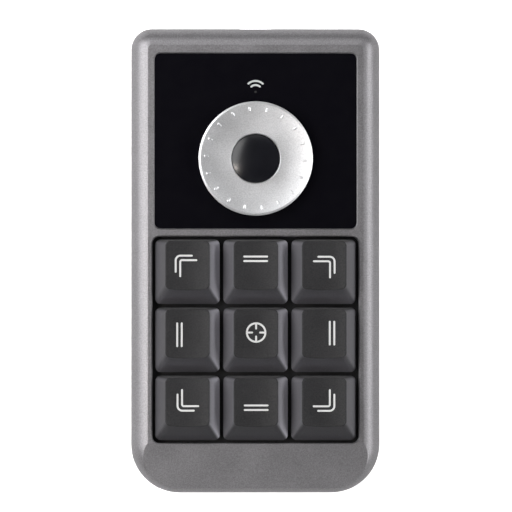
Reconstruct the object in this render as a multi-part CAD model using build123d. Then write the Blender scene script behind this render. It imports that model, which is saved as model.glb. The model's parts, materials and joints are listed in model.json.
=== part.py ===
from build123d import *
from math import atan2, cos, degrees, radians, sin, sqrt
import os

# Wireless macro keypad: a one-piece frame on a flat cover, nine mechanical keys in a square well,
# and a rotating dial with a push button at its centre, set in a gloss panel.
# Millimetres. X is the width, +Y points to the dial end, +Z is up. The feet stand on z = 0.

# ---- driving dimensions: case -------------------------------------------------------------------
body_width = 69.6
body_length = 130.0
rear_corner_radius = 5.8        # corners at the dial end
front_corner_radius = 13.5      # corners at the chin
shoulder_radius = 5.7           # rounding of the frame's upper edge
shoulder_crease = 10.0          # slope, in degrees, at which the rounding meets the flat top
chin_length = 13.9              # frame in front of the well
chin_drop = 2.4                 # how far the chin has sunk at the front edge
chin_ledge = 0.05               # the chin starts to sink this far behind the well's front edge
rear_band = 7.05                # frame behind the panel
side_band = 6.5                 # frame beside the panel
bar_width = 2.2                 # frame bar between the well and the panel
frame_wall = 1.8
frame_skin = 2.0                # thickness of the frame's top
skirt_wall = 1.2                # walls that hang round the well and the panel
edge_chamfer = 0.3              # bright edge round the well and the panel

cover_floor = 1.8
cover_reveal = 0.4              # the cover stands back from the frame's wall
cover_chamfer = 0.8
lip_wall = 1.2                  # the cover's lip inside the frame
lip_height = 2.0
lip_clearance = 0.15

foot_length = 16.0
foot_width = 6.0
foot_drop = 1.0                 # how far a foot stands out of the cover
foot_pocket = 0.5
foot_side_inset = 14.8          # foot's middle from the case's side
foot_rear_inset = 9.8
foot_front_inset = 14.8
foot_edge = 0.4

# ---- driving dimensions: board, plate and screws ------------------------------------------------
board_gap = 3.4                 # free height under the board
board_thickness = 1.2
board_clearance = 0.4           # board edge to frame wall
plate_thickness = 1.2
plate_to_board = 2.2            # plate top to board top, the switch's seated depth
plate_margin = 2.0              # plate beyond the well, lengthways
plate_clearance = 2.0           # plate's side edge to frame wall

screw_radius = 0.95
screw_length = 8.0
screw_head_radius = 1.9
screw_head_height = 1.3
screw_drive_width = 1.2         # across the flats of the driver's recess
screw_drive_depth = 0.7
screw_recess = 2.8              # depth of the head's pocket in the cover
screw_play = 0.25               # radial play in board and cover
thread_play = 0.05              # radial play in the frame's boss
screw_room = 0.5                # boss hole beyond the screw's tip
boss_radius = 2.2
post_radius = 3.0
boss_middle_side_inset = 5.2    # middle screws from the case's side
boss_middle_bar_inset = 3.15    # and from the panel's front edge
boss_front_side_inset = 10.8
boss_front_inset = 7.3

# ---- driving dimensions: keys -------------------------------------------------------------------
key_pitch = 19.05
key_rows = 3
key_columns = 3
well_margin = 0.3               # well edge beyond the key pitch
well_radius = 1.9
frame_rise = 4.9                # frame top above the plate

cap_gap = 1.0                   # gap between neighbouring caps
cap_height = 7.6
cap_clearance = 0.2             # cap above the plate when pressed home
cap_base_radius = 1.5
cap_top_width = 12.4
cap_top_length = 13.25
cap_top_radius = 1.5
cap_back_inset = 0.6            # top face's rear edge from the base's rear edge
cap_dish_radius = 24.0
cap_edge = 0.35                 # rounding of the top face's rim
cap_wall = 1.2
cap_inner_radius = 0.75
cap_roof = 1.5
cap_post_radius = 2.7
key_travel = 3.0

cross_length = 4.0
cross_width = 1.15
cross_height = 3.0
cross_play = 0.05
stem_length = 6.6
stem_width = 5.6
stem_flange = 0.7               # flange that the lid holds down, at each end
stem_flange_side = 0.35         # the same flange, at each side
stem_flange_height = 0.35
stem_shoulder = 1.8             # stem top above the lid
stem_play = 0.15
stem_stop = 0.05                # rest gap under the lid
stem_roof = 0.6                 # wall above the spring's bore

housing_width = 13.8
housing_flange = 14.6
housing_flange_height = 0.8
housing_rise = 2.9              # housing above the plate
housing_floor = 0.8
housing_wall = 1.2
housing_roof = 0.75
housing_taper = 1.0             # lid is narrower at the top on each side
cutout_play = 0.1
peg_radius = 1.9
peg_play = 0.1

spring_radius = 1.45
spring_wire = 0.24
spring_turns = 6.0
spring_play = 0.3
spring_post_radius = 0.9
spring_post_height = 1.4

pin_radius = 0.5
pin_play = 0.1
pin_drop = 0.8                  # pin below the board
pin_offset_x = 4.6
pin_offset_y = 4.4
leaf_width = 1.6
leaf_thickness = 0.3
leaf_height = 2.6
leaf_play = 0.1

# ---- driving dimensions: panel and dial ---------------------------------------------------------
opening_radius = 1.7
panel_thickness = 1.5
panel_recess = 0.4              # panel below the frame's top
panel_play = 0.1
ledge_width = 1.6
ledge_thickness = 1.2

dial_inset = 19.6               # dial's axis behind the panel's front edge
dial_radius = 15.95
dial_bore_radius = 6.85
dial_gap = 0.3                  # dial above the panel
dial_height = 2.7
dial_dish = 0.9                 # dish of the dial's face towards its bore
dial_chamfer = 0.55             # bright outer edge, width
dial_chamfer_drop = 0.35        # and fall
dial_bore_chamfer = 0.25
dial_pocket_depth = 1.2
dial_rib = 1.3                  # walls of the underside pocket
mark_count = 18
mark_turn = 7.2                 # first mark's angle from +Y, degrees
mark_circle_radius = 13.8
mark_length = 1.6
mark_width = 0.94               # at the root
mark_tip_width = 0.8
mark_height = 0.15
mark_root = 0.06                # mark carried down into the dial
mark_slope = 0.7                # the crest is this much smaller than the root

hub_wall = 1.3
hub_seat = 1.0                  # hub's depth in the dial
hub_flange = 1.0
hub_flange_height = 1.0
hub_play = 0.05                 # running clearance in the carrier, radial and axial
hub_panel_play = 0.3
seat_play = 0.02

wheel_width = 3.8               # code wheel from the hub outwards
wheel_thickness = 0.5
wheel_slots = 36
wheel_slot_width = 0.7
wheel_slot_length = 1.6
wheel_rim = 0.5
wheel_lift = 0.65               # wheel above the hub's lower end

carrier_thickness = 1.9
carrier_radius = 17.0
carrier_leg_width = 1.8
carrier_leg_span = 30.0         # each leg's share of the circle, degrees
carrier_leg_angles = (90, 210, 330)
carrier_panel_gap = 0.1
stake_radius = 0.8
stake_play = 0.1

guide_wall = 1.65
guide_lip = 0.95                # lip that traps the button's flange
guide_top_gap = 0.5             # guide below the dial
guide_hub_play = 0.3
guide_flange_height = 0.8
guide_stake_radius = 0.6
guide_stake_angles = (30, 150, 270)

button_radius = 6.6
button_rise = 1.0               # height of the dome
button_sink = 0.4               # dome's edge below the dial's bore edge
button_wall = 1.2
button_flange = 0.75
button_flange_height = 0.8
button_play = 0.1               # radial play in the guide
button_stop = 0.05              # rest gap under the guide's lip
button_post_radius = 1.6
button_travel = 0.5
button_low = 2.3                # skirt's lower edge above the board

tact_width = 5.2
tact_height = 1.5
tact_plunger_radius = 1.25
tact_plunger_rise = 1.0
tact_plunger_depth = 0.6
tact_play = 0.1

sensor_width = 5.0
sensor_length = 4.6
sensor_height = 3.0
sensor_slot = 1.1
sensor_bite = 2.3               # how far the wheel reaches into the sensor
sensor_play = 0.3

# ---- driving dimensions: electronics ------------------------------------------------------------
icon_inset = 9.45               # status mark in front of the panel's rear edge
guide_block_width = 5.6
guide_block_length = 4.6
guide_block_radius = 1.15
guide_block_gap = 0.2           # above the lamp
lamp_width = 3.2
lamp_length = 1.6
lamp_height = 1.1
lamp_lens_width = 2.2

chip_width = 7.0
chip_height = 0.9
chip_side_inset = 13.8
chip_rear_inset = 16.8

cell_width = 33.6
cell_thickness = 3.0
cell_edge = 0.8
cell_front_inset = 1.2          # cell behind the panel's front edge
cell_rear_inset = 8.0           # and in front of its rear edge
lead_radius = 0.5
lead_spacing = 6.0
lead_bend = 1.2
lead_reach = 3.4

usb_width = 8.94
usb_height = 3.26
usb_length = 7.3
usb_shell = 0.3
usb_sink = 0.6                  # socket's mouth behind the frame's rear face
usb_play = 0.2
usb_tongue_width = 6.7
usb_tongue_height = 0.7
usb_tongue_length = 5.0
usb_back = 1.2

slider_side_inset = 14.8        # middle of the slider's slot from the case's side
slider_width = 4.0
slider_height = 1.8
slider_travel = 2.0
slider_sink = 0.3               # knob behind the frame's rear face
slider_play = 0.2
slider_lift = 1.3               # knob's centre above the board
slider_stem_width = 1.3
slider_stem_height = 0.8
slider_ribs = 3
slider_rib_depth = 0.25
slider_rib_width = 0.4
slider_rib_pitch = 0.9
power_width = 6.7
power_length = 2.7
power_height = 1.4
power_set_back = 3.3            # switch face behind the frame's rear face
power_slot_depth = 1.0

# ---- levels and places that follow --------------------------------------------------------------
z_cover = foot_drop
z_floor = z_cover + cover_floor
z_board = z_floor + board_gap
z_board_top = z_board + board_thickness
z_plate_top = z_board_top + plate_to_board
z_plate = z_plate_top - plate_thickness
z_frame_top = z_plate_top + frame_rise
z_ceiling = z_frame_top - frame_skin
z_cap = z_plate_top + key_travel + cap_clearance
z_cap_top = z_cap + cap_height
z_lid_top = z_plate_top + housing_rise
z_panel_top = z_frame_top - panel_recess
z_panel = z_panel_top - panel_thickness
z_ledge = z_panel - ledge_thickness
z_screw_seat = z_cover + screw_recess
z_dial = z_panel_top + dial_gap
z_dial_top = z_dial + dial_height
z_dial_bore = z_dial_top - dial_dish

side_face = body_width / 2
rear_face = body_length / 2
well_width = key_columns * key_pitch + 2 * well_margin
well_length = key_rows * key_pitch + 2 * well_margin
keys_y = chin_length - rear_face + well_length / 2
opening_front = chin_length - rear_face + well_length + bar_width
opening_rear = rear_face - rear_band
opening_width = body_width - 2 * side_band
opening_length = opening_rear - opening_front
opening_y = (opening_front + opening_rear) / 2
plate_width = body_width - 2 * (frame_wall + plate_clearance)
dial_y = opening_front + dial_inset
icon_y = opening_rear - icon_inset
slider_x = side_face - slider_side_inset
boss_rear = (side_face - rear_corner_radius, rear_face - rear_corner_radius)
boss_middle = (side_face - boss_middle_side_inset, opening_front + boss_middle_bar_inset)
boss_front = (side_face - boss_front_side_inset, boss_front_inset - rear_face)
cap_width = key_pitch - cap_gap
cap_front_inset = cap_width - cap_top_length - cap_back_inset
cap_side_inset = (cap_width - cap_top_width) / 2
cap_top_shift = (cap_front_inset - cap_back_inset) / 2
bosses = [(side * x, y) for x, y in (boss_rear, boss_middle, boss_front) for side in (-1, 1)]
key_places = {
    f"r{row + 1}c{column + 1}": (
        (column - (key_columns - 1) / 2) * key_pitch,
        keys_y + ((key_rows - 1) / 2 - row) * key_pitch,
    )
    for row in range(key_rows)
    for column in range(key_columns)
}
guide_bore = button_radius + button_play
guide_outer = guide_bore + guide_wall
guide_inner = guide_bore + guide_lip
hub_inner = guide_outer + guide_hub_play
hub_outer = hub_inner + hub_wall
z_hub = z_board_top + guide_flange_height + hub_play
z_hub_top = z_dial + hub_seat
z_wheel = z_hub + wheel_lift
z_carrier_top = z_panel - carrier_panel_gap
z_carrier = z_carrier_top - carrier_thickness
z_button = z_board_top + button_low
z_button_lip = z_button + button_flange_height + button_stop
z_guide_top = z_dial - guide_top_gap
z_button_edge = z_dial_bore - button_sink
z_tact_top = z_board_top + tact_height
z_plunger_top = z_tact_top + tact_plunger_rise
wheel_outer = hub_outer + wheel_width
upright = 0.9                   # upward share of a normal that counts as facing up


# ---- helpers ------------------------------------------------------------------------------------
def slab(shape, low, high):
    """A flat shape raised from one level to another."""
    return Pos(0, 0, low) * extrude(shape, high - low)


def rod(x, y, radius, low, high):
    return slab(Pos(x, y) * Circle(radius), low, high)


def block(x, y, width, length, low, high):
    return slab(Pos(x, y) * Rectangle(width, length), low, high)


def rounded(x, y, width, length, radius, low, high):
    return slab(Pos(x, y) * RectangleRounded(width, length, radius), low, high)


def outline(inset=0.0):
    """The case's plan: small corners at the rear, large ones at the front."""
    plan = Rectangle(body_width - 2 * inset, body_length - 2 * inset)
    plan = fillet(plan.vertices().sort_by(Axis.Y)[:2], front_corner_radius - inset)
    return fillet(plan.vertices().sort_by(Axis.Y)[-2:], rear_corner_radius - inset)


def turned(profile, y):
    """A profile in X and Z, turned about the upright axis through (0, y)."""
    return Pos(0, y, 0) * revolve(Plane.XZ * profile, Axis.Z)


def ring(y, inner, outer, low, high):
    return slab(Pos(0, y) * (Circle(outer) - Circle(inner)), low, high)


def around(y, radius, angle):
    return radius * cos(radians(angle)), y + radius * sin(radians(angle))


def solids_of(made):
    return made if isinstance(made, list) else [made]


def save(node, solids):
    shape = solids[0] if len(solids) == 1 else Compound(children=solids)
    shape.label = node
    export_step(shape, f"parts/{node}.step")


# ---- case ---------------------------------------------------------------------------------------
def domed_form(inset, low, high, shoulder):
    """The case's outer form, or its hollow: rounded upper edge, flat top, sinking chin."""
    crown = shoulder * (1 - cos(radians(shoulder_crease)))
    form = slab(outline(inset), low, high + crown)
    form = fillet(form.faces().sort_by(Axis.Z)[-1].edges(), shoulder)
    start = chin_length - rear_face + chin_ledge
    run = rear_face + start
    above = Plane.YZ * Polygon(
        (body_length, high), (start, high), (start - 2 * run, high - 2 * chin_drop),
        (start - 2 * run, high + chin_drop), (body_length, high + chin_drop), align=None,
    )
    return form - extrude(above, body_width, both=True)


def make_top_frame():
    outer = domed_form(0.0, z_floor, z_frame_top, shoulder_radius)
    hollow = domed_form(frame_wall, z_floor, z_ceiling, shoulder_radius - frame_wall)
    frame = outer - hollow
    skirts = rounded(
        0, keys_y, well_width + 2 * skirt_wall, well_length + 2 * skirt_wall,
        well_radius + skirt_wall, z_plate_top, z_frame_top,
    )
    skirts += rounded(
        0, opening_y, opening_width + 2 * skirt_wall, opening_length + 2 * skirt_wall,
        opening_radius + skirt_wall, z_ledge, z_frame_top,
    )
    for x, y in bosses:
        skirts += rod(x, y, boss_radius, z_board_top, z_ceiling + frame_skin / 2)
    frame += skirts & outer
    for x, y in bosses:
        tip = z_screw_seat + screw_length
        frame -= rod(x, y, screw_radius + thread_play, z_board_top, tip + screw_room)
    above = z_frame_top + edge_chamfer
    frame -= rounded(0, keys_y, well_width, well_length, well_radius, z_floor, above)
    frame -= rounded(0, opening_y, opening_width, opening_length, opening_radius, z_panel, above)
    frame -= rounded(
        0, opening_y, opening_width - 2 * ledge_width, opening_length - 2 * ledge_width,
        opening_radius, z_floor, z_panel,
    )
    frame -= bevel(keys_y, well_width, well_length, well_radius)
    frame -= bevel(opening_y, opening_width, opening_length, opening_radius)
    frame -= usb_cut()
    frame -= slider_cut()
    return frame


def bevel(y, width, length, radius):
    """Cutter for the bright edge round an opening in the frame's top."""
    sections = [
        Pos(0, y, z_frame_top + rise) * RectangleRounded(
            width + 2 * (rise + edge_chamfer), length + 2 * (rise + edge_chamfer),
            radius + rise + edge_chamfer,
        )
        for rise in (-edge_chamfer, edge_chamfer)
    ]
    return loft(sections)


def usb_cut():
    slot = SlotOverall(usb_width + 2 * usb_play, usb_height + 2 * usb_play)
    place = Plane(origin=(0, rear_face, z_board_top + usb_height / 2), x_dir=(1, 0, 0), z_dir=(0, 1, 0))
    return extrude(place * slot, 2 * frame_wall, both=True)


def slider_cut():
    slot = Rectangle(
        slider_width + slider_travel + 2 * slider_play, slider_height + 2 * slider_play
    )
    place = Plane(
        origin=(slider_x, rear_face, z_board_top + slider_lift), x_dir=(1, 0, 0), z_dir=(0, 1, 0)
    )
    return extrude(place * slot, 2 * frame_wall, both=True)


def make_bottom_cover():
    floor = slab(outline(cover_reveal), z_cover, z_floor)
    floor = chamfer(floor.faces().sort_by(Axis.Z)[0].edges(), cover_chamfer)
    lip_outer = frame_wall + lip_clearance
    cover = floor + slab(outline(lip_outer) - outline(lip_outer + lip_wall), z_floor, z_floor + lip_height)
    for x, y in bosses:
        cover += rod(x, y, post_radius, z_floor, z_board)
    cover &= slab(outline(cover_reveal), z_cover, z_floor) + slab(outline(lip_outer), z_floor, z_board)
    for x, y in bosses:
        cover -= rod(x, y, screw_head_radius + screw_play, z_cover, z_screw_seat)
        cover -= rod(x, y, screw_radius + screw_play, z_screw_seat, z_board)
    for x, y in foot_places():
        pocket = Pos(x, y) * SlotOverall(foot_length, foot_width)
        cover -= slab(pocket, z_cover, z_cover + foot_pocket)
    return cover


def foot_places():
    rows = (rear_face - foot_rear_inset, foot_front_inset - rear_face)
    return [(side * (side_face - foot_side_inset), y) for y in rows for side in (-1, 1)]


def make_rubber_feet():
    feet = []
    for x, y in foot_places():
        foot = slab(Pos(x, y) * SlotOverall(foot_length, foot_width), 0, z_cover + foot_pocket)
        feet.append(chamfer(foot.faces().sort_by(Axis.Z)[0].edges(), foot_edge))
    return feet


def make_case_screws():
    drive = RegularPolygon(screw_drive_width / 2, 6, major_radius=False)
    screws = []
    for x, y in bosses:
        head_low = z_screw_seat - screw_head_height
        screw = rod(x, y, screw_head_radius, head_low, z_screw_seat)
        screw += rod(x, y, screw_radius, z_screw_seat, z_screw_seat + screw_length)
        screw -= slab(Pos(x, y) * drive, head_low, head_low + screw_drive_depth)
        screws.append(screw)
    return screws


# ---- board and plate ----------------------------------------------------------------------------
def stake_places():
    """Where the dial's carrier and the button's guide are staked into the board."""
    carrier_circle = carrier_radius - carrier_leg_width / 2
    carrier = [(*around(dial_y, carrier_circle, a), stake_radius) for a in carrier_leg_angles]
    guide_circle = (guide_outer + hub_outer) / 2
    guide = [(*around(dial_y, guide_circle, a), guide_stake_radius) for a in guide_stake_angles]
    return carrier, guide


def make_circuit_board():
    board = slab(outline(frame_wall + board_clearance), z_board, z_board_top)
    for x, y in bosses:
        board -= rod(x, y, screw_radius + screw_play, z_board, z_board_top)
    for group in stake_places():
        for x, y, radius in group:
            board -= rod(x, y, radius + stake_play, z_board, z_board_top)
    for x, y in key_places.values():
        board -= rod(x, y, peg_radius + peg_play, z_board, z_board_top)
        for side in (-1, 1):
            board -= rod(
                x + side * pin_offset_x, y + pin_offset_y, pin_radius + pin_play, z_board, z_board_top
            )
    return board


def make_switch_plate():
    plate = rounded(
        0, keys_y, plate_width, well_length + 2 * plate_margin, well_radius + plate_margin,
        z_plate, z_plate_top,
    )
    cutout = housing_width + 2 * cutout_play
    for x, y in key_places.values():
        plate -= block(x, y, cutout, cutout, z_plate, z_plate_top)
    return plate


# ---- one key: cap, stem, spring, housing and contacts, at the origin ----------------------------
def make_keycap():
    base = RectangleRounded(cap_width, cap_width, cap_base_radius)
    top = Pos(0, cap_top_shift) * RectangleRounded(cap_top_width, cap_top_length, cap_top_radius)
    cap = loft([Pos(0, 0, z_cap) * base, Pos(0, 0, z_cap_top) * top])
    dish_depth = cap_dish_radius - sqrt(cap_dish_radius**2 - (cap_top_width / 2) ** 2)
    dish_axis = z_cap_top - dish_depth + cap_dish_radius
    dish = Plane.XZ * Pos(0, dish_axis) * Circle(cap_dish_radius)
    cap -= extrude(dish, cap_width, both=True)
    cap = fillet(dished_rim(cap), cap_edge)
    roof = z_cap_top - dish_depth - cap_roof
    share = (roof - z_cap) / cap_height
    wall = 2 * cap_wall
    inner_base = RectangleRounded(cap_width - wall, cap_width - wall, cap_inner_radius)
    inner_width = cap_width - wall - 2 * cap_side_inset * share
    inner_length = cap_width - wall - (cap_front_inset + cap_back_inset) * share
    inner_top = Pos(0, cap_top_shift * share) * RectangleRounded(inner_width, inner_length, cap_inner_radius)
    cap -= loft([Pos(0, 0, z_cap) * inner_base, Pos(0, 0, roof) * inner_top])
    post_low = z_lid_top + stem_shoulder + cross_play
    post = rod(0, 0, cap_post_radius, post_low, roof + cap_roof / 2)
    cross = cross_shape(cross_play)
    post -= slab(cross, post_low, z_lid_top + stem_shoulder + cross_height + cross_play)
    return cap + post


def dished_rim(cap):
    """The border of the cap's dished top face."""
    face = [f for f in cap.faces() if f.geom_type == GeomType.CYLINDER and f.normal_at().Z > upright]
    return ShapeList([e for f in face for e in f.edges()])


def cross_shape(play=0.0):
    length, width = cross_length + 2 * play, cross_width + 2 * play
    return Rectangle(length, width) + Rectangle(width, length)


def make_stem():
    z_flange = z_lid_top - housing_roof - stem_stop
    z_shoulder = z_lid_top + stem_shoulder
    stem = block(0, 0, stem_length, stem_width, z_flange - stem_flange_height, z_shoulder)
    stem += block(
        0, 0, stem_length + 2 * stem_flange, stem_width + 2 * stem_flange_side,
        z_flange - stem_flange_height, z_flange,
    )
    stem += slab(cross_shape(), z_shoulder, z_shoulder + cross_height)
    stem -= rod(0, 0, spring_radius + spring_wire / 2 + spring_play, z_flange - stem_flange_height, spring_top())
    return stem


def spring_top():
    """The roof of the bore in the stem, where the spring pushes."""
    return z_lid_top + stem_shoulder - stem_roof


def make_spring():
    low = z_board_top + housing_floor + spring_wire / 2
    high = spring_top() - spring_wire / 2
    path = Pos(0, 0, low) * Helix((high - low) / spring_turns, high - low, spring_radius)
    start = path.edges()[0]
    section = Plane(origin=start @ 0, z_dir=start % 0) * Circle(spring_wire / 2)
    return sweep(section, path=path, is_frenet=True)


def make_housing():
    """Base and lid of one switch, as two solids."""
    half = housing_width / 2
    z_flange = z_plate_top + housing_flange_height
    base = block(0, 0, housing_width, housing_width, z_board_top, z_plate_top)
    base += block(0, 0, housing_flange, housing_flange, z_plate_top, z_flange)
    inner = housing_width - 2 * housing_wall
    z_inner = z_board_top + housing_floor
    base -= block(0, 0, inner, inner, z_inner, z_flange)
    base += rod(0, 0, spring_post_radius, z_inner, z_inner + spring_post_height)
    base += rod(0, 0, peg_radius, z_board, z_board_top)
    for side in (-1, 1):
        base -= leaf_slot(side)
    lid_top = housing_width - 2 * housing_taper
    lid = loft([
        Pos(0, 0, z_flange) * Rectangle(housing_width, housing_width),
        Pos(0, 0, z_lid_top) * Rectangle(lid_top, lid_top),
    ])
    lid_inner = 2 * (half - housing_wall - housing_taper)
    lid -= block(0, 0, lid_inner, lid_inner, z_flange, z_lid_top - housing_roof)
    lid -= block(0, 0, stem_length + 2 * stem_play, stem_width + 2 * stem_play, z_flange, z_lid_top)
    return [base, lid]


def leaf_slot(side):
    x, y = side * pin_offset_x, pin_offset_y
    return block(
        x, y, leaf_width + 2 * leaf_play, leaf_thickness + 2 * leaf_play,
        z_board_top, z_board_top + housing_floor,
    )


def make_contacts():
    """The two contacts of one switch: a pin through the board and a leaf in the housing."""
    pair = []
    for side in (-1, 1):
        x, y = side * pin_offset_x, pin_offset_y
        pin = rod(x, y, pin_radius, z_board - pin_drop, z_board_top)
        pin += block(x, y, leaf_width, leaf_thickness, z_board_top, z_board_top + leaf_height)
        pair.append(pin)
    return pair


# ---- panel and dial -----------------------------------------------------------------------------
def make_dial_panel():
    panel = rounded(
        0, opening_y, opening_width - 2 * panel_play, opening_length - 2 * panel_play,
        opening_radius - panel_play, z_panel, z_panel_top,
    )
    return panel - rod(0, dial_y, hub_outer + hub_panel_play, z_panel, z_panel_top)


def dish_level(radius):
    """Height of the dial's dished face at a radius."""
    rim = dial_radius - dial_chamfer
    edge = dial_bore_radius + dial_bore_chamfer
    share = (rim - radius) / (rim - edge)
    return z_dial_top - dial_dish * (1 - (1 - share) ** 2)


def make_dial_ring():
    rim = dial_radius - dial_chamfer
    edge = dial_bore_radius + dial_bore_chamfer
    middle = (rim + edge) / 2
    with BuildSketch() as section:
        with BuildLine():
            face = ThreePointArc(
                (rim, z_dial_top), (middle, dish_level(middle)), (edge, z_dial_bore)
            )
            Polyline(
                face @ 1,
                (dial_bore_radius, z_dial_bore - dial_bore_chamfer),
                (dial_bore_radius, z_dial),
                (dial_radius, z_dial),
                (dial_radius, z_dial_top - dial_chamfer_drop),
                face @ 0,
            )
        make_face()
    dial = turned(section.sketch, dial_y)
    dial -= ring(dial_y, hub_inner - seat_play, hub_outer + seat_play, z_dial, z_hub_top)
    dial -= ring(
        dial_y, hub_outer + dial_rib, dial_radius - dial_rib, z_dial, z_dial + dial_pocket_depth
    )
    for number in range(mark_count):
        dial += grip_mark(mark_turn + 90 + number * 360 / mark_count)
    return dial


def grip_mark(angle):
    """A low drop on the dial's face, wide end outwards, sloping to a narrow crest."""
    mark = loft([
        drop_outline(mark_length, mark_width, mark_tip_width),
        Pos(0, 0, mark_root + mark_height) * drop_outline(
            mark_length - mark_slope, mark_width - mark_slope, mark_tip_width - mark_slope
        ),
    ])
    half = mark_length / 2
    rise = dish_level(mark_circle_radius + half) - dish_level(mark_circle_radius - half)
    tilt = degrees(atan2(rise, mark_length))
    low = dish_level(mark_circle_radius) - mark_root
    return Pos(0, dial_y, low) * Rot(0, 0, angle) * Pos(mark_circle_radius, 0, 0) * Rot(0, -tilt, 0) * mark


def drop_outline(length, width, tip_width):
    """A drop seen from above: a wide arc, a narrow arc and two straight flanks."""
    outer_radius, inner_radius = width / 2, tip_width / 2
    span = length - outer_radius - inner_radius
    lean = (outer_radius - inner_radius) / span
    rise = sqrt(1 - lean**2)
    middle = (inner_radius - outer_radius) / 2
    wide_x, narrow_x = middle + span / 2 + outer_radius * lean, middle - span / 2 + inner_radius * lean
    with BuildSketch() as drop:
        with BuildLine():
            ThreePointArc(
                (wide_x, -outer_radius * rise), (length / 2, 0), (wide_x, outer_radius * rise)
            )
            Line((wide_x, outer_radius * rise), (narrow_x, inner_radius * rise))
            ThreePointArc(
                (narrow_x, inner_radius * rise), (-length / 2, 0), (narrow_x, -inner_radius * rise)
            )
            Line((narrow_x, -inner_radius * rise), (wide_x, -outer_radius * rise))
        make_face()
    return drop.sketch


def make_dial_hub():
    hub = ring(dial_y, hub_inner, hub_outer, z_hub, z_hub_top)
    z_flange = z_carrier - hub_flange_height - hub_play
    hub += ring(dial_y, hub_inner, hub_outer + hub_flange, z_flange, z_flange + hub_flange_height)
    return hub


def make_code_wheel():
    wheel = ring(dial_y, hub_outer + seat_play, wheel_outer, z_wheel, z_wheel + wheel_thickness)
    slot_centre = wheel_outer - wheel_rim - wheel_slot_length / 2
    slot = Pos(slot_centre, 0, z_wheel) * Box(
        wheel_slot_length, wheel_slot_width, 4 * wheel_thickness
    )
    slots = [Pos(0, dial_y, 0) * Rot(0, 0, n * 360 / wheel_slots) * slot for n in range(wheel_slots)]
    return wheel - slots


def make_dial_carrier():
    """Bearing for the hub: a ring on three legs, staked into the board."""
    carrier = ring(dial_y, hub_outer + hub_play, carrier_radius, z_carrier, z_carrier_top)
    leg_ring = ring(dial_y, carrier_radius - carrier_leg_width, carrier_radius, z_board_top, z_carrier)
    for angle in carrier_leg_angles:
        wedge = Pos(0, dial_y, z_board_top) * Rot(0, 0, angle - carrier_leg_span / 2) * extrude(
            Polygon(
                (0, 0), (2 * carrier_radius, 0),
                (2 * carrier_radius * cos(radians(carrier_leg_span)),
                 2 * carrier_radius * sin(radians(carrier_leg_span))),
                align=None,
            ),
            z_carrier - z_board_top,
        )
        carrier += leg_ring & wedge
    for x, y, radius in stake_places()[0]:
        carrier += rod(x, y, radius, z_board, z_board_top)
    return carrier


def make_button_guide():
    guide = ring(dial_y, guide_inner, guide_outer, z_board_top, z_button_lip)
    guide += ring(dial_y, guide_bore, guide_outer, z_button_lip, z_guide_top)
    guide += ring(
        dial_y, guide_inner, hub_outer, z_board_top, z_board_top + guide_flange_height
    )
    for x, y, radius in stake_places()[1]:
        guide += rod(x, y, radius, z_board, z_board_top)
    return guide


def make_button_cap():
    """Domed push button: a hollow cap with a stop flange and a post over the switch."""
    dome_radius = (button_radius**2 + button_rise**2) / (2 * button_rise)
    z_centre = z_button_edge + button_rise - dome_radius
    flange_top = z_button + button_flange_height

    def dome(radius, shell):
        return radius, z_centre + sqrt((dome_radius - shell) ** 2 - radius**2)

    skirt = button_radius - button_wall
    with BuildSketch() as section:
        with BuildLine():
            outside = ThreePointArc(dome(0, 0), dome(button_radius / 2, 0), dome(button_radius, 0))
            inside_dome = ThreePointArc(
                dome(skirt, button_wall), dome(button_radius / 2, button_wall),
                dome(button_post_radius, button_wall),
            )
            Polyline(
                outside @ 1, (button_radius, flange_top), (button_radius + button_flange, flange_top),
                (button_radius + button_flange, z_button), (skirt, z_button), inside_dome @ 0,
            )
            Polyline(
                inside_dome @ 1, (button_post_radius, z_plunger_top), (0, z_plunger_top), outside @ 0
            )
        make_face()
    return turned(section.sketch, dial_y)


def make_tact_switch():
    body = block(0, dial_y, tact_width, tact_width, z_board_top, z_tact_top)
    well_low = z_tact_top - tact_plunger_depth - button_travel - tact_play
    return body - rod(0, dial_y, tact_plunger_radius + tact_play, well_low, z_tact_top)


def make_tact_plunger():
    return rod(0, dial_y, tact_plunger_radius, z_tact_top - tact_plunger_depth, z_plunger_top)


def make_encoder_sensor():
    """Forked light barrier that reads the code wheel's slots."""
    inner_side = wheel_outer - sensor_bite
    centre = dial_y - inner_side - sensor_length / 2
    body = block(0, centre, sensor_width, sensor_length, z_board_top, z_board_top + sensor_height)
    z_slot = z_wheel + wheel_thickness / 2 - sensor_slot / 2
    slot = rod(0, dial_y, wheel_outer + sensor_play, z_slot, z_slot + sensor_slot)
    return body - slot


# ---- electronics --------------------------------------------------------------------------------
def make_light_guide():
    return rounded(
        0, icon_y, guide_block_width, guide_block_length, guide_block_radius,
        z_board_top + lamp_height + guide_block_gap, z_panel,
    )


def make_status_lamp():
    z_lens = z_board_top + lamp_height / 2
    lamp = block(0, icon_y, lamp_width, lamp_length, z_board_top, z_lens)
    return lamp + block(0, icon_y, lamp_lens_width, lamp_length, z_lens, z_board_top + lamp_height)


def make_controller_chip():
    x, y = chip_side_inset - side_face, rear_face - chip_rear_inset
    return block(x, y, chip_width, chip_width, z_board_top, z_board_top + chip_height)


def make_battery_pack():
    """Pouch cell on the cover's floor and its two leads, bent up to the board."""
    front, rear = opening_front + cell_front_inset, opening_rear - cell_rear_inset
    cell = block(0, (front + rear) / 2, cell_width, rear - front, z_floor, z_floor + cell_thickness)
    cell = fillet(cell.edges().filter_by(Axis.Y), cell_edge)
    pack = [cell]
    lead_z = z_floor + cell_thickness / 2
    for side in (-1, 1):
        x = side * lead_spacing / 2
        points = [(x, front, lead_z), (x, front - lead_reach, lead_z), (x, front - lead_reach, z_board)]
        path = FilletPolyline(*points, radius=lead_bend)
        section = Plane(origin=points[0], z_dir=(0, -1, 0)) * Circle(lead_radius)
        pack.append(sweep(section, path=path))
    return pack


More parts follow.
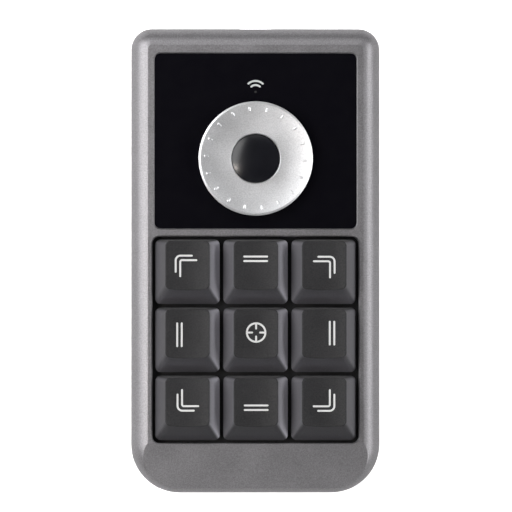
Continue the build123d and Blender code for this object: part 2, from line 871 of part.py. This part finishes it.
def make_usb_socket():
    """Reversible charging socket: a drawn shell and the tongue inside it."""
    mouth = rear_face - usb_sink
    z_middle = z_board_top + usb_height / 2
    place = Plane(origin=(0, mouth, z_middle), x_dir=(-1, 0, 0), z_dir=(0, -1, 0))
    outer = SlotOverall(usb_width, usb_height)
    inner = SlotOverall(usb_width - 2 * usb_shell, usb_height - 2 * usb_shell)
    shell = extrude(place * outer, usb_length) - extrude(place * inner, usb_length - usb_back)
    tongue_low = mouth - usb_length + usb_back
    tongue = block(
        0, tongue_low + usb_tongue_length / 2, usb_tongue_width, usb_tongue_length,
        z_middle - usb_tongue_height / 2, z_middle + usb_tongue_height / 2,
    )
    return [shell, tongue]


def slider_rest():
    return slider_x - slider_travel / 2


def make_power_switch():
    face = rear_face - power_set_back
    body = block(
        slider_x, face - power_length / 2, power_width, power_length, z_board_top, z_board_top + power_height
    )
    z_stem = z_board_top + power_height / 2
    slot_width = slider_stem_width + slider_travel + 2 * slider_play
    slot_height = slider_stem_height + slider_play
    return body - block(
        slider_x, face - power_slot_depth / 2, slot_width, power_slot_depth,
        z_stem - slot_height / 2, z_stem + slot_height / 2,
    )


def make_power_slider():
    face = rear_face - power_set_back
    outside = rear_face - slider_sink
    inside_face = rear_face - frame_wall + slider_play
    z_middle = z_board_top + slider_lift
    z_stem = z_board_top + power_height / 2
    x = slider_rest()
    knob = block(
        x, (outside + inside_face) / 2, slider_width, outside - inside_face,
        z_middle - slider_height / 2, z_middle + slider_height / 2,
    )
    for number in range(slider_ribs):
        rib_x = x + (number - (slider_ribs - 1) / 2) * slider_rib_pitch
        knob -= block(
            rib_x, outside, slider_rib_width, 2 * slider_rib_depth,
            z_middle - slider_height / 2, z_middle + slider_height / 2,
        )
    stem_inner = face - power_slot_depth + slider_play
    return knob + block(
        x, (stem_inner + inside_face) / 2, slider_stem_width, inside_face - stem_inner,
        z_stem - slider_stem_height / 2, z_stem + slider_stem_height / 2,
    )


# ---- write every sub-part -----------------------------------------------------------------------
os.makedirs("parts", exist_ok=True)

single_parts = {
    "top_frame": make_top_frame,
    "bottom_cover": make_bottom_cover,
    "rubber_feet": make_rubber_feet,
    "case_screws": make_case_screws,
    "circuit_board": make_circuit_board,
    "switch_plate": make_switch_plate,
    "dial_panel": make_dial_panel,
    "dial_ring": make_dial_ring,
    "dial_hub": make_dial_hub,
    "code_wheel": make_code_wheel,
    "dial_carrier": make_dial_carrier,
    "button_guide": make_button_guide,
    "button_cap": make_button_cap,
    "tact_switch": make_tact_switch,
    "tact_plunger": make_tact_plunger,
    "encoder_sensor": make_encoder_sensor,
    "light_guide": make_light_guide,
    "status_lamp": make_status_lamp,
    "controller_chip": make_controller_chip,
    "battery_pack": make_battery_pack,
    "usb_socket": make_usb_socket,
    "power_switch": make_power_switch,
    "power_slider": make_power_slider,
}
for node, make in single_parts.items():
    save(node, solids_of(make()))

key_parts = {
    "keycap": make_keycap(),
    "switch_stem": make_stem(),
    "switch_spring": make_spring(),
    "switch_housing": make_housing(),
}
contacts = []
for place, (x, y) in key_places.items():
    for kind, shape in key_parts.items():
        save(f"{kind}_{place}", [Pos(x, y, 0) * solid for solid in solids_of(shape)])
    contacts += [Pos(x, y, 0) * contact for contact in make_contacts()]
save("switch_contacts", contacts)
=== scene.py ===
import json
import math

import bmesh
import bpy
from mathutils import Matrix, Vector


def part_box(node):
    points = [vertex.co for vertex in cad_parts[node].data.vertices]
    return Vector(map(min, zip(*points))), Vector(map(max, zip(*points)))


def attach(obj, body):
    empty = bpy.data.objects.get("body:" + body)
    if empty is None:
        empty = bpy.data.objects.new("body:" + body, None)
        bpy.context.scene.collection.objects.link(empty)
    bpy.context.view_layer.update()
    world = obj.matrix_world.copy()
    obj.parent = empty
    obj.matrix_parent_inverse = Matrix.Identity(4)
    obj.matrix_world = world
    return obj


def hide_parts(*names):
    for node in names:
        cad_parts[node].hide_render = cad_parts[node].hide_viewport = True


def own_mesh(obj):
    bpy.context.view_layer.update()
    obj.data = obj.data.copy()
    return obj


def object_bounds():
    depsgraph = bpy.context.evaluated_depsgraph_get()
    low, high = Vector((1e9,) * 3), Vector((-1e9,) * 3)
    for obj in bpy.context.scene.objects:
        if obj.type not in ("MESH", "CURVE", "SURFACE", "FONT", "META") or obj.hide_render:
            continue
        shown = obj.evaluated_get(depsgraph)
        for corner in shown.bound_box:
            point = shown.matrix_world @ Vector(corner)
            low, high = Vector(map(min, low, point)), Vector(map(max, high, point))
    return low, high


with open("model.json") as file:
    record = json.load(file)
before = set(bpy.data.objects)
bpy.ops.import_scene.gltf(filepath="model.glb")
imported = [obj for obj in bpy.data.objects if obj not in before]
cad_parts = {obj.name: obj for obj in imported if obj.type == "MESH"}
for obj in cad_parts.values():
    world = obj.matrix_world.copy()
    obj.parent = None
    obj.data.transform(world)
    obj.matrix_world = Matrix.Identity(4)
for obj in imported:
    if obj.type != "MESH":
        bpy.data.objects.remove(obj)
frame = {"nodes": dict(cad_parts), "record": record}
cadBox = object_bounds()
print("frame loaded")

mm = 0.001
keyNames = [f"r{row}c{column}" for row in (1, 2, 3) for column in (1, 2, 3)]
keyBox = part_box("keycap_r1c1")


def startMaterial(name):
    material = bpy.data.materials.new(name)
    material.use_nodes = True
    return material, material.node_tree, material.node_tree.nodes["Principled BSDF"]


def addNode(tree, kind, settings=None, **inputs):
    node = tree.nodes.new(kind)
    for key, value in (settings or {}).items():
        setattr(node, key, value)
    for key, value in inputs.items():
        node.inputs[key.replace("_", " ")].default_value = value
    return node


def grainNode(tree, scale, detail, stretch=(1, 1, 1)):
    coordinates = addNode(tree, "ShaderNodeTexCoord")
    mapping = addNode(tree, "ShaderNodeMapping", Scale=stretch)
    noise = addNode(tree, "ShaderNodeTexNoise", Scale=scale, Detail=detail)
    tree.links.new(coordinates.outputs["Object"], mapping.inputs["Vector"])
    tree.links.new(mapping.outputs["Vector"], noise.inputs["Vector"])
    return noise


# low and high are reached where the source has the two values of ends
def rangeNode(tree, source, low, high, ends=(0.3, 0.7)):
    node = addNode(tree, "ShaderNodeMapRange", From_Min=ends[0], From_Max=ends[1],
                   To_Min=low, To_Max=high)
    tree.links.new(source, node.inputs["Value"])
    return node.outputs["Result"]


def rampNode(tree, source, dark, light, ends=(0.35, 0.65)):
    ramp = addNode(tree, "ShaderNodeValToRGB")
    for stop, position, colour in zip(ramp.color_ramp.elements, ends, (dark, light)):
        stop.position = position
        stop.color = (*colour, 1)
    tree.links.new(source, ramp.inputs["Fac"])
    return ramp.outputs["Color"]


# one axis of the coordinates called kind
def axisNode(tree, kind, axis):
    coordinates = addNode(tree, "ShaderNodeTexCoord")
    parts = addNode(tree, "ShaderNodeSeparateXYZ")
    tree.links.new(coordinates.outputs[kind], parts.inputs["Vector"])
    return parts.outputs[axis]


colourMix = dict(share=0, rest=6, walls=7, result=2)   # socket numbers of a Mix node set to colour
facing = dict(begins=0.4, full=0.8)                    # how far a wall turns to its axis


# painted light: another colour on the walls that face one way, paler or darker as light falls on that
# side: way is the sign along the axis
def paintedWallLight(tree, rest, walls, axis, way):
    mix = addNode(tree, "ShaderNodeMix", {"data_type": "RGBA"})
    turn = axisNode(tree, "Normal", axis)
    share = rangeNode(tree, turn, 0.0, 1.0, (facing["begins"] * way, facing["full"] * way))
    tree.links.new(share, mix.inputs[colourMix["share"]])
    tree.links.new(rest, mix.inputs[colourMix["rest"]])
    tree.links.new(walls, mix.inputs[colourMix["walls"]])
    return mix.outputs[colourMix["result"]]


# painted light: a colour that grows paler, by the factor gain, from the height high down to low, to
# lift the shade that falls there between the keys
def paleBase(tree, colour, gain, low, high):
    scaled = addNode(tree, "ShaderNodeVectorMath", {"operation": "SCALE"})
    tree.links.new(colour, scaled.inputs["Vector"])
    factor = rangeNode(tree, axisNode(tree, "Object", "Z"), gain, 1.0, (low, high))
    tree.links.new(factor, scaled.inputs["Scale"])
    return scaled.outputs["Vector"]


# what a finish has where its own dictionary says nothing else
usual = dict(
    metallic=0.0,
    ior=1.5,
    specular=0.5,
    sheen=0.0,
    sheenRoughness=0.5,
    grainDetail=3.0,
    stretch=(1, 1, 1),
    broadScale=120.0,       # of the slow change across a surface
    broadDetail=2.0,
    fineShare=0.7,          # of the fine grain in the colour, against the slow change
    bump=0.2,
    bumpHeight=0.02 * mm,
    walls=(),
)


# colour wanders between two shades, roughness between two values, and a fine grain lifts the surface
def grainedMaterial(name, ownLook):
    look = {**usual, **ownLook}
    material, tree, shader = startMaterial(name)
    shader.inputs["Metallic"].default_value = look["metallic"]
    shader.inputs["IOR"].default_value = look["ior"]
    shader.inputs["Specular IOR Level"].default_value = look["specular"]
    shader.inputs["Sheen Weight"].default_value = look["sheen"]
    shader.inputs["Sheen Roughness"].default_value = look["sheenRoughness"]

    fine = grainNode(tree, look["grainScale"], look["grainDetail"], look["stretch"]).outputs["Fac"]
    broad = grainNode(tree, look["broadScale"], look["broadDetail"]).outputs["Fac"]
    broadPart = addNode(tree, "ShaderNodeMath", {"operation": "MULTIPLY"})
    broadPart.inputs[1].default_value = 1 - look["fineShare"]
    tree.links.new(broad, broadPart.inputs[0])
    blend = addNode(tree, "ShaderNodeMath", {"operation": "MULTIPLY_ADD"})
    blend.inputs[1].default_value = look["fineShare"]
    tree.links.new(fine, blend.inputs[0])
    tree.links.new(broadPart.outputs["Value"], blend.inputs[2])
    grain = blend.outputs["Value"]

    colour = rampNode(tree, grain, look["dark"], look["light"])
    # painted light on the cap walls: paler by the way each one faces, and towards its foot
    for wall in look["walls"]:
        walls = rampNode(tree, grain, wall["dark"], wall["light"])
        walls = paleBase(tree, walls, wall["gain"], *look["paleBase"])
        colour = paintedWallLight(tree, colour, walls, wall["axis"], wall["way"])
    tree.links.new(colour, shader.inputs["Base Color"])
    tree.links.new(rangeNode(tree, broad, *look["roughness"]), shader.inputs["Roughness"])

    bump = addNode(tree, "ShaderNodeBump", Strength=look["bump"], Distance=look["bumpHeight"])
    tree.links.new(fine, bump.inputs["Height"])
    tree.links.new(bump.outputs["Normal"], shader.inputs["Normal"])
    return material


finishes = {
    "frame_metal": dict(
        dark=(0.179, 0.175, 0.183), light=(0.261, 0.255, 0.266), metallic=0.75,
        roughness=(0.42, 0.47), grainScale=3000, bump=0.38, bumpHeight=0.035 * mm,
        fineShare=0.85),
    "cover_plastic": dict(
        dark=(0.03, 0.03, 0.032), light=(0.045, 0.045, 0.048), roughness=(0.5, 0.6),
        grainScale=4200, bump=0.6, bumpHeight=0.05 * mm),
    "foot_rubber": dict(
        dark=(0.018, 0.018, 0.018), light=(0.03, 0.03, 0.03), roughness=(0.7, 0.85),
        grainScale=3000, bump=0.4),
    "screw_steel": dict(
        dark=(0.09, 0.09, 0.095), light=(0.14, 0.14, 0.145), metallic=1.0, roughness=(0.3, 0.4),
        grainScale=3000),
    "board_laminate": dict(
        dark=(0.008, 0.05, 0.025), light=(0.012, 0.07, 0.035), roughness=(0.3, 0.4),
        grainScale=1500),
    "plate_steel": dict(
        dark=(0.008, 0.008, 0.009), light=(0.014, 0.014, 0.015), roughness=(0.45, 0.55),
        grainScale=2500),
    "panel_gloss": dict(
        dark=(0.0028, 0.0026, 0.004), light=(0.0034, 0.0032, 0.0046), roughness=(0.03, 0.05),
        specular=0.05, grainScale=300, bump=0.0),
    "dial_metal": dict(
        dark=(0.565, 0.568, 0.583), light=(0.735, 0.738, 0.753), metallic=1.0,
        roughness=(0.44, 0.5), grainScale=3400, bump=0.35, bumpHeight=0.025 * mm, fineShare=0.85),
    "hub_plastic": dict(
        dark=(0.02, 0.02, 0.02), light=(0.03, 0.03, 0.03), roughness=(0.5, 0.6), grainScale=2000),
    "wheel_steel": dict(
        dark=(0.4, 0.4, 0.4), light=(0.5, 0.5, 0.5), metallic=1.0, roughness=(0.3, 0.4),
        grainScale=2000),
    "carrier_plastic": dict(
        dark=(0.03, 0.03, 0.03), light=(0.04, 0.04, 0.04), roughness=(0.5, 0.6), grainScale=2000),
    "guide_plastic": dict(
        dark=(0.02, 0.02, 0.02), light=(0.03, 0.03, 0.03), roughness=(0.5, 0.6), grainScale=2000),
    "button_gloss": dict(
        dark=(0.004, 0.0042, 0.006), light=(0.005, 0.0052, 0.0075), roughness=(0.2, 0.23),
        grainScale=600, bump=0.0),
    "switch_black": dict(
        dark=(0.015, 0.015, 0.015), light=(0.02, 0.02, 0.02), roughness=(0.4, 0.5),
        grainScale=2000),
    "plunger_plastic": dict(
        dark=(0.5, 0.5, 0.48), light=(0.6, 0.6, 0.58), roughness=(0.4, 0.5), grainScale=2000),
    "sensor_black": dict(
        dark=(0.01, 0.01, 0.01), light=(0.015, 0.015, 0.015), roughness=(0.4, 0.5),
        grainScale=2000),
    "light_guide_clear": dict(
        dark=(0.8, 0.82, 0.83), light=(0.85, 0.87, 0.88), roughness=(0.3, 0.4), grainScale=1500),
    "lamp_white": dict(
        dark=(0.8, 0.8, 0.74), light=(0.86, 0.86, 0.8), roughness=(0.2, 0.3), grainScale=1500),
    "chip_black": dict(
        dark=(0.015, 0.015, 0.017), light=(0.022, 0.022, 0.024), roughness=(0.5, 0.6),
        grainScale=3000),
    "battery_wrap": dict(
        dark=(0.35, 0.36, 0.37), light=(0.5, 0.51, 0.52), roughness=(0.3, 0.45), grainScale=800,
        metallic=0.4),
    "socket_steel": dict(
        dark=(0.5, 0.5, 0.5), light=(0.62, 0.62, 0.62), metallic=1.0, roughness=(0.25, 0.35),
        grainScale=2500, stretch=(1, 0.1, 1)),
    "switch_steel": dict(
        dark=(0.45, 0.45, 0.45), light=(0.55, 0.55, 0.55), metallic=1.0, roughness=(0.25, 0.35),
        grainScale=2500),
    "slider_plastic": dict(
        dark=(0.02, 0.02, 0.021), light=(0.03, 0.03, 0.031), roughness=(0.4, 0.5),
        grainScale=4000),
    "contact_brass": dict(
        dark=(0.6, 0.45, 0.2), light=(0.75, 0.6, 0.32), metallic=1.0, roughness=(0.25, 0.35),
        grainScale=2000),
    "stem_plastic": dict(
        dark=(0.2, 0.03, 0.025), light=(0.28, 0.05, 0.04), roughness=(0.35, 0.45),
        grainScale=2000),
    "spring_steel": dict(
        dark=(0.5, 0.5, 0.5), light=(0.6, 0.6, 0.6), metallic=1.0, roughness=(0.2, 0.3),
        grainScale=2000),
    "housing_plastic": dict(
        dark=(0.016, 0.016, 0.017), light=(0.022, 0.022, 0.024), roughness=(0.4, 0.5),
        grainScale=2500),
    "legend_white": dict(
        dark=(0.52, 0.52, 0.52), light=(0.58, 0.58, 0.58), roughness=(0.5, 0.6), grainScale=3000,
        bump=0.1),
    "signal_grey": dict(
        dark=(0.42, 0.44, 0.44), light=(0.48, 0.5, 0.5), roughness=(0.4, 0.5), grainScale=3000,
        bump=0.1),
    "lamp_dark": dict(
        dark=(0.02, 0.02, 0.021), light=(0.03, 0.03, 0.031), roughness=(0.2, 0.3),
        grainScale=3000, bump=0.0),
}
materials = {name: grainedMaterial(name, look) for name, look in finishes.items()}

# painted light: the walls are painted paler than the top by the axis that they face, as light falls on
# them, and paler still towards their lower edge, where the keys shade each other
keycapLook = dict(
    dark=(0.0115, 0.0115, 0.0125), light=(0.0235, 0.023, 0.0245), roughness=(0.5, 0.58),
    specular=0.25, sheen=0.06, sheenRoughness=0.4, grainScale=2800, bump=0.5, bumpHeight=0.04 * mm,
    fineShare=0.75, paleBase=(keyBox[0].z, keyBox[1].z),
    walls=(
        dict(axis="X", way=-1, dark=(0.074, 0.073, 0.08), light=(0.09, 0.088, 0.097), gain=1.7),
        dict(axis="X", way=1, dark=(0.14, 0.137, 0.151), light=(0.167, 0.164, 0.18), gain=3.8),
        dict(axis="Y", way=-1, dark=(0.05, 0.049, 0.055), light=(0.065, 0.063, 0.071), gain=1.7),
    ),
)

# painted shade: the walls at the outside of the key field stand free, in more light than those between
# the keys, so their painted wall colours are darker
outerPaintedShade = {
    "c1": dict(axis="X", way=-1, dark=(0.043, 0.042, 0.047), light=(0.053, 0.052, 0.057), gain=1.7),
    "c3": dict(axis="X", way=1, dark=(0.074, 0.073, 0.079), light=(0.09, 0.088, 0.096), gain=1.7),
    "r3": dict(axis="Y", way=-1, dark=(0.03, 0.0295, 0.033), light=(0.039, 0.038, 0.0425), gain=1.7),
}


# a cap's material: the painted wall light, with the painted shade of its outer walls where it stands
# at the edge of the key field
def keycapMaterial(key):
    outer = {(wall["axis"], wall["way"]): wall for place, wall in outerPaintedShade.items() if place in key}
    walls = [outer.get((wall["axis"], wall["way"]), wall) for wall in keycapLook["walls"]]
    return grainedMaterial(f"keycap_plastic_{key}", {**keycapLook, "walls": walls})


materials.update({f"keycap_plastic_{key}": keycapMaterial(key) for key in keyNames})

for part in frame["record"]["subparts"]:
    piece, slot = frame["nodes"][part["node"]], part["material_slot"]
    if slot == "keycap_plastic":
        slot += part["node"].removeprefix("keycap")     # each cap has its own
    piece.data.materials.clear()
    piece.data.materials.append(materials[slot])
print("materials on the CAD nodes")


# unit vector after a share of a full turn
def around(share):
    return Vector((math.cos(math.tau * share), math.sin(math.tau * share)))


# a rounded path through corner points, as points a short step apart, bendSteps or more to a bend
def roundedPath(corners, radius, step, bendSteps=6):
    points = [Vector(corners[0])]
    for before, corner, after in zip(corners, corners[1:], corners[2:]):
        before, corner, after = Vector(before), Vector(corner), Vector(after)
        inward, outward = (before - corner).normalized(), (after - corner).normalized()
        halfTurn = inward.angle(outward) / 2
        reach = radius / math.tan(halfTurn)
        centre = corner + (inward + outward).normalized() * radius / math.sin(halfTurn)
        start, end = corner + inward * reach - centre, corner + outward * reach - centre
        sweep = start.angle_signed(end)
        count = max(bendSteps, int(abs(sweep) * radius / step))
        for index in range(count + 1):
            turned = start.copy()
            turned.rotate(Matrix.Rotation(-sweep * index / count, 2))
            points.append(centre + turned)
    points.append(Vector(corners[-1]))
    dense = [points[0]]
    for a, b in zip(points, points[1:]):
        pieces = max(1, round((b - a).length / step))
        dense += [a.lerp(b, (i + 1) / pieces) for i in range(pieces)]
    return dense


# a stroke with round ends: a ladder of quads along the path, closed by two half discs
def addStroke(mesh, path, width, heightAt, closed=False, endSteps=8):
    half = width / 2
    rows = []
    for index, point in enumerate(path):
        before = path[index - 1] if index or closed else point
        after = path[(index + 1) % len(path)] if index + 1 < len(path) or closed else point
        along = (after - before).normalized()
        side = Vector((-along.y, along.x)) * half
        row = [point + side, point, point - side]
        rows.append([mesh.verts.new((p.x, p.y, heightAt(p))) for p in row])
    pairs = list(zip(rows, rows[1:])) + ([(rows[-1], rows[0])] if closed else [])
    for first, second in pairs:
        for left in (0, 1):
            mesh.faces.new((first[left], first[left + 1], second[left + 1], second[left]))
    if closed:
        return
    for row, neighbour, turn in ((rows[0], path[1], -1), (rows[-1], path[-2], 1)):
        centre = Vector(row[1].co[:2])
        outward = (centre - neighbour).normalized()
        side = Vector(row[0].co[:2]) - centre
        rim = [row[0]]
        for index in range(1, endSteps):
            angle = math.pi * index / endSteps
            spot = centre + side * math.cos(angle) + outward * half * math.sin(angle)
            rim.append(mesh.verts.new((spot.x, spot.y, heightAt(spot))))
        rim.append(row[2])
        for a, b in zip(rim, rim[1:]):
            mesh.faces.new((row[1], a, b) if turn > 0 else (row[1], b, a))


# a flat mark, turned face up and given its thickness, that rides on a body
def markPiece(name, mesh, thickness, material, body):
    bmesh.ops.recalc_face_normals(mesh, faces=mesh.faces)
    if sum(face.normal.z for face in mesh.faces) < 0:
        bmesh.ops.reverse_faces(mesh, faces=mesh.faces)
    data = bpy.data.meshes.new(name)
    mesh.to_mesh(data)
    mesh.free()
    piece = bpy.data.objects.new(name, data)
    bpy.context.scene.collection.objects.link(piece)
    data.materials.append(material)
    shell = piece.modifiers.new("thickness", "SOLIDIFY")
    shell.thickness = thickness
    shell.offset = -1
    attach(piece, body)


# where a line straight down through a point meets a node, and the way its surface faces there
def seenFromAbove(node, point, clearance=10 * mm):
    start = (point.x, point.y, cadBox[1].z + clearance)
    hit, place, normal, _ = frame["nodes"][node].ray_cast(start, (0, 0, -1))
    if not hit:
        raise ValueError(f"no surface of {node} under {point}")
    return place, normal


def surfaceUnder(node, lift):
    return lambda point: seenFromAbove(node, point)[0].z + lift


def middleOf(node):
    low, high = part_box(node)
    return Vector(((low.x + high.x) / 2, (low.y + high.y) / 2))


legend = dict(
    width=0.52 * mm,
    spacing=1.26 * mm,      # between the two strokes of a pair
    length=6.35 * mm,
    reach=4.5 * mm,         # of a corner's arms
    outerBend=1.35 * mm,
    innerBend=0.5 * mm,
    lift=0.012 * mm,
    depth=0.06 * mm,
    step=0.25 * mm,
    ring=2.58 * mm,         # radius of the centre key's ring, to the middle of the stroke
    ringSteps=72,
    tick=0.85 * mm,         # its ticks stop this far from the middle
)

# where each key's mark sits from the key's middle, in mm: a corner's outer bend, or a pair's middle
legendPlaces = {
    "r1c1": (-3.31, 4.39), "r1c2": (-0.07, 3.51), "r1c3": (2.89, 4.09),
    "r2c1": (-2.25, 1.39), "r2c2": (0.06, 2.0), "r2c3": (2.18, 1.84),
    "r3c1": (-2.79, -0.72), "r3c2": (0.08, 0.1), "r3c3": (2.82, -0.77),
}


# a corner mark: the second stroke repeats the first, shifted inwards along both arms
def cornerPaths(across, along):
    reach = legend["reach"]
    paths = []
    for shift, bend in ((0, legend["outerBend"]), (legend["spacing"], legend["innerBend"])):
        bendPoint = Vector((across * shift, along * shift))
        ends = Vector((0, along * reach)), Vector((across * reach, 0))
        corners = [bendPoint + ends[0], bendPoint, bendPoint + ends[1]]
        paths.append(roundedPath(corners, bend, legend["step"]))
    return paths


def pairPaths(upright):
    half, gap = legend["length"] / 2, legend["spacing"] / 2
    ends = [((-half, s * gap), (half, s * gap)) for s in (-1, 1)]
    if upright:
        ends = [(tuple(reversed(a)), tuple(reversed(b))) for a, b in ends]
    return [roundedPath(pair, 0, legend["step"]) for pair in ends]


def tickPaths():
    inner = legend["tick"] + legend["width"] / 2
    ways = [around(quarter / 4) for quarter in range(4)]
    return [roundedPath([way * legend["ring"], way * inner], 0, legend["step"]) for way in ways]


def makeLegend(key):
    centre = middleOf(f"keycap_{key}") + Vector(legendPlaces[key]) * mm
    row, column = int(key[1]) - 2, int(key[3]) - 2      # counted from the centre key
    mesh = bmesh.new()
    onCap = surfaceUnder(f"keycap_{key}", legend["lift"])
    if row and column:
        paths = cornerPaths(-column, row)
    elif row or column:
        paths = pairPaths(upright=not row)
    else:
        paths = tickPaths()
        steps = legend["ringSteps"]
        ring = [centre + around(index / steps) * legend["ring"] for index in range(steps)]
        addStroke(mesh, ring, legend["width"], onCap, closed=True)
    for path in paths:
        addStroke(mesh, [centre + point for point in path], legend["width"], onCap)
    markPiece(f"legend_{key}", mesh, legend["depth"], materials["legend_white"], f"key_{key}")


for key in keyNames:
    makeLegend(key)
print("legends on the keys")


# a key's return spring stands on its housing; a copy of it, with its own mesh, rides on the case in
# place of the CAD part
def makeSpring(key):
    node, press = f"switch_spring_{key}", f"key_press_{key}"
    spring = bpy.data.objects.new(f"spring_{key}", frame["nodes"][node].data.copy())
    bpy.context.scene.collection.objects.link(spring)
    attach(spring, "case")
    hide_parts(node)
    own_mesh(spring)


for key in keyNames:
    makeSpring(key)
print("springs under the keys")


signal = dict(
    place=Vector((0.0, 47.15)) * mm,                # middle of the arcs
    arcs=((3.06 * mm, 41.0), (1.91 * mm, 39.0)),    # radius, degrees to each side of the top
    arcSteps=8,                                     # in an arc, at least
    width=0.53 * mm,
    lamp=0.32 * mm,                                 # radius of the lamp's dot
    lampHalf=0.02 * mm,                             # half the length of its very short stroke
    lift=0.01 * mm,
    depth=0.04 * mm,
    step=0.15 * mm,
)


def makeSignalMark():
    onPanel = surfaceUnder("dial_panel", signal["lift"])
    mesh = bmesh.new()
    for radius, spread in signal["arcs"]:
        count = max(signal["arcSteps"], int(math.radians(2 * spread) * radius / signal["step"]))
        angles = [math.radians(90 - spread + 2 * spread * i / count) for i in range(count + 1)]
        path = [signal["place"] + Vector((math.cos(a), math.sin(a))) * radius for a in angles]
        addStroke(mesh, path, signal["width"], onPanel)
    markPiece("signal_mark", mesh, signal["depth"], materials["signal_grey"], "case")
    lamp = bmesh.new()
    path = [signal["place"] + Vector((side * signal["lampHalf"], 0)) for side in (-1, 1)]
    addStroke(lamp, path, 2 * signal["lamp"], onPanel)
    markPiece("signal_lamp", lamp, signal["depth"], materials["lamp_dark"], "case")


makeSignalMark()
print("wireless mark on the panel")


studio = dict(
    floorSize=4.0,
    floorDrop=0.02 * mm,    # below the feet, so that the two don't share a plane
    floorColour=(0.85, 0.85, 0.85),
    floorRoughness=0.9,
    floorGlow=0.75,         # what the camera sees of the floor beyond its own shading
    worldStrength=0.04,     # of the surroundings' light, which the camera sees as 1
    lampAim=Vector((0, 0, 0.01)),
)

# each lamp faces the object; size: along the horizon, then upwards
softboxes = {
    "leftHighBox": dict(place=(-0.24, 0.06, 0.36), size=(0.52, 0.16), power=1.1),
    "leftNearBox": dict(place=(-0.33, 0.12, 0.2), size=(0.4, 0.25), power=1.25),
    "rightLowBox": dict(place=(0.74, 0.0, 0.415), size=(1.0, 0.44), power=5.8),
    "topBox": dict(place=(0.0, 0.2, 2.2), size=(3.0, 1.4), power=0.5),
    "rearBox": dict(place=(0.0, 0.63, 0.57), size=(1.0, 0.3), power=1.8),
    "frontBox": dict(place=(0.0, -0.6, 0.6), size=(1.0, 0.3), power=1.5),
}


def makeFloor():
    half = studio["floorSize"] / 2
    data = bpy.data.meshes.new("floor")
    corners = [(-half, -half, 0), (half, -half, 0), (half, half, 0), (-half, half, 0)]
    data.from_pydata(corners, [], [(0, 1, 2, 3)])
    floor = bpy.data.objects.new("floor", data)
    floor.location.z = -studio["floorDrop"]
    bpy.context.scene.collection.objects.link(floor)
    material, tree, shader = startMaterial("floor")
    shader.inputs["Base Color"].default_value = (*studio["floorColour"], 1)
    shader.inputs["Roughness"].default_value = studio["floorRoughness"]
    shader.inputs["Specular IOR Level"].default_value = 0.0
    rays = addNode(tree, "ShaderNodeLightPath")
    seen = addNode(tree, "ShaderNodeMath", {"operation": "MULTIPLY"})
    seen.inputs[1].default_value = studio["floorGlow"]
    tree.links.new(rays.outputs["Is Camera Ray"], seen.inputs[0])
    shader.inputs["Emission Color"].default_value = (1, 1, 1, 1)
    tree.links.new(seen.outputs["Value"], shader.inputs["Emission Strength"])
    data.materials.append(material)


def makeWorld():
    world = bpy.data.worlds.new("studio")
    bpy.context.scene.world = world
    world.use_nodes = True
    tree = world.node_tree
    background = tree.nodes["Background"]
    rays = addNode(tree, "ShaderNodeLightPath")
    strength = addNode(tree, "ShaderNodeMapRange", From_Min=0.0, From_Max=1.0,
                       To_Min=studio["worldStrength"], To_Max=1.0)
    tree.links.new(rays.outputs["Is Camera Ray"], strength.inputs["Value"])
    tree.links.new(strength.outputs["Result"], background.inputs["Strength"])
    background.inputs["Color"].default_value = (1, 1, 1, 1)


# an area lamp that shines against the way called away
def makeLamp(name, shape, size, power, place, away, colour=(1, 1, 1)):
    data = bpy.data.lights.new(name, "AREA")
    data.shape = shape
    data.size, data.size_y = size
    data.energy = power
    data.color = colour
    lamp = bpy.data.objects.new(name, data)
    bpy.context.scene.collection.objects.link(lamp)
    lamp.location = place
    lamp.rotation_euler = away.to_track_quat("Z", "Y").to_euler()


def makeSoftboxes():
    for name, box in softboxes.items():
        away = Vector(box["place"]) - studio["lampAim"]
        makeLamp(name, "RECTANGLE", box["size"], box["power"], box["place"], away)


# a small warm lamp that the domed button mirrors near its rim
glint = dict(
    spot=Vector((-5.5, -2.3)) * mm,   # from the dome's middle
    distance=0.6,
    size=(0.08, 0.028),
    power=0.42,
    colour=(1.0, 0.9, 0.82),
)


def makeGlint():
    place, normal = seenFromAbove("button_cap", middleOf("button_cap") + glint["spot"])
    away = Vector((0, 0, -1)).reflect(normal)
    makeLamp("glint", "ELLIPSE", glint["size"], glint["power"], place + away * glint["distance"], away,
             glint["colour"])


camera = dict(
    distance=1.7,
    tilt=math.radians(1.0),     # leans towards the chin
    lean=math.radians(0.9),     # leans to the left
    view=143.4 * mm,            # width of the view at the aim
    aim=Vector((0.15, 1.25, 12.0)) * mm,
    sensor=36.0,
)


def makeCamera():
    data = bpy.data.cameras.new("camera")
    data.sensor_width = camera["sensor"]
    data.lens = camera["sensor"] * camera["distance"] / camera["view"]
    seen = bpy.data.objects.new("camera", data)
    bpy.context.scene.collection.objects.link(seen)
    seen.rotation_euler = (camera["tilt"], -camera["lean"], 0)
    away = seen.rotation_euler.to_matrix() @ Vector((0, 0, 1))
    seen.location = camera["aim"] + away * camera["distance"]
    bpy.context.scene.camera = seen


makeFloor()
makeWorld()
makeSoftboxes()
makeGlint()
makeCamera()
bpy.context.scene.view_settings.view_transform = "Standard"
print("studio ready")
